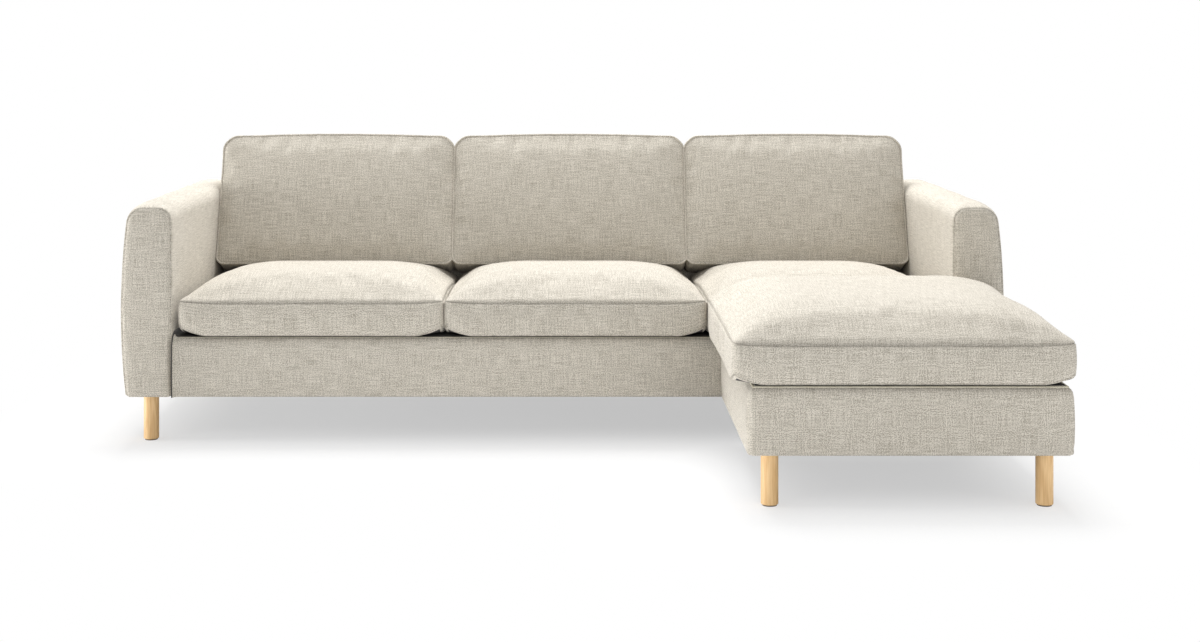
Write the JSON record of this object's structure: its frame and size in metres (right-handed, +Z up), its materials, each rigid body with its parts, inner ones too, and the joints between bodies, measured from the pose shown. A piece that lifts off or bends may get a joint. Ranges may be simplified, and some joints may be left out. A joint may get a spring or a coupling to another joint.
{
  "type": "sectional sofa with chaise",
  "caption": "Sectional sofa with a right-hand chaise, loose seat and back cushions, slim padded arms and round wooden legs.",
  "frame": {"origin": "on the floor, under the middle of the whole plan", "axes": "+X to the right of someone who looks at the front, +Y to the back of the sofa, +Z up"},
  "size_m": [2.3798, 1.62, 0.7976],
  "materials": {
    "sofa_fabric": "pale greige melange weave",
    "cushion_fabric": "pale greige melange weave",
    "foam": "open-cell foam and fibre",
    "frame_timber": "planed softwood",
    "hardboard": "smooth hardboard",
    "leg_wood": "clear satin lacquer",
    "zinc_steel": "zinc plated",
    "spring_steel": "oiled spring steel",
    "webbing": "woven elastic",
    "dust_cloth": "black nonwoven",
    "felt": "pressed felt"
  },
  "bodies": {
    "sofa": {"arm_dust_cloths": "dust_cloth", "arm_panels": "hardboard", "arm_posts": "frame_timber", "arm_rails": "frame_timber", "back_boards": "frame_timber", "back_cover": "sofa_fabric", "back_foam": "foam", "back_posts": "frame_timber", "back_webbing": "webbing", "base_cover": "sofa_fabric", "base_padding": "foam", "chaise_cover": "sofa_fabric", "chaise_deck_pad": "foam", "chaise_dust_cloth": "dust_cloth", "chaise_end_rails": "frame_timber", "chaise_left_leg": "leg_wood", "chaise_padding": "foam", "chaise_right_leg": "leg_wood", "chaise_side_rails": "frame_timber", "cross_rails": "frame_timber", "deck_pad": "foam", "frame_bolts": "zinc_steel", "frame_inserts": "zinc_steel", "front_left_leg": "leg_wood", "front_rail": "frame_timber", "front_right_leg": "leg_wood", "left_arm_cover": "sofa_fabric", "left_arm_padding": "foam", "leg_blocks": "frame_timber", "leg_bolts": "zinc_steel", "leg_glides": "felt", "leg_plates": "zinc_steel", "leg_tee_nuts": "zinc_steel", "plate_screws": "zinc_steel", "rear_left_leg": "leg_wood", "rear_middle_leg": "leg_wood", "rear_rail": "frame_timber", "rear_right_leg": "leg_wood", "right_arm_cover": "sofa_fabric", "right_arm_padding": "foam", "seat_dust_cloth": "dust_cloth", "side_rails": "frame_timber", "spring_clips": "spring_steel", "spring_rail": "frame_timber", "zigzag_springs": "spring_steel"},
    "left_seat": {"left_seat_cushion_cover": "cushion_fabric", "left_seat_cushion_core": "foam"},
    "middle_seat": {"middle_seat_cushion_cover": "cushion_fabric", "middle_seat_cushion_core": "foam"},
    "right_seat": {"right_seat_cushion_cover": "cushion_fabric", "right_seat_cushion_core": "foam"},
    "chaise_seat": {"chaise_cushion_cover": "cushion_fabric", "chaise_cushion_core": "foam"},
    "left_back": {"left_back_cushion_cover": "cushion_fabric", "left_back_cushion_core": "foam"},
    "middle_back": {"middle_back_cushion_cover": "cushion_fabric", "middle_back_cushion_core": "foam"},
    "right_back": {"right_back_cushion_cover": "cushion_fabric", "right_back_cushion_core": "foam"}
  },
  "joints": [
    {"name": "left_seat_pull", "type": "slide", "parent": "sofa", "child": "left_seat", "axis": [0, -1, 0], "range_m": [0, 0.7]},
    {"name": "middle_seat_pull", "type": "slide", "parent": "sofa", "child": "middle_seat", "axis": [0, -1, 0], "range_m": [0, 0.7]},
    {"name": "left_back_lift", "type": "slide", "parent": "sofa", "child": "left_back", "axis": [0, 0, 1], "range_m": [0, 0.45]},
    {"name": "middle_back_lift", "type": "slide", "parent": "sofa", "child": "middle_back", "axis": [0, 0, 1], "range_m": [0, 0.45]},
    {"name": "right_back_lift", "type": "slide", "parent": "sofa", "child": "right_back", "axis": [0, 0, 1], "range_m": [0, 0.45]},
    {"name": "right_seat_lift", "type": "slide", "parent": "sofa", "child": "right_seat", "axis": [0, 0, 1], "range_m": [0, 0.225]},
    {"name": "chaise_seat_lift", "type": "slide", "parent": "sofa", "child": "chaise_seat", "axis": [0, 0, 1], "range_m": [0, 0.3]}
  ],
  "couplings": [
    {"joint": "right_seat_lift", "follows": "right_back_lift", "ratio": 0.5}
  ]
}
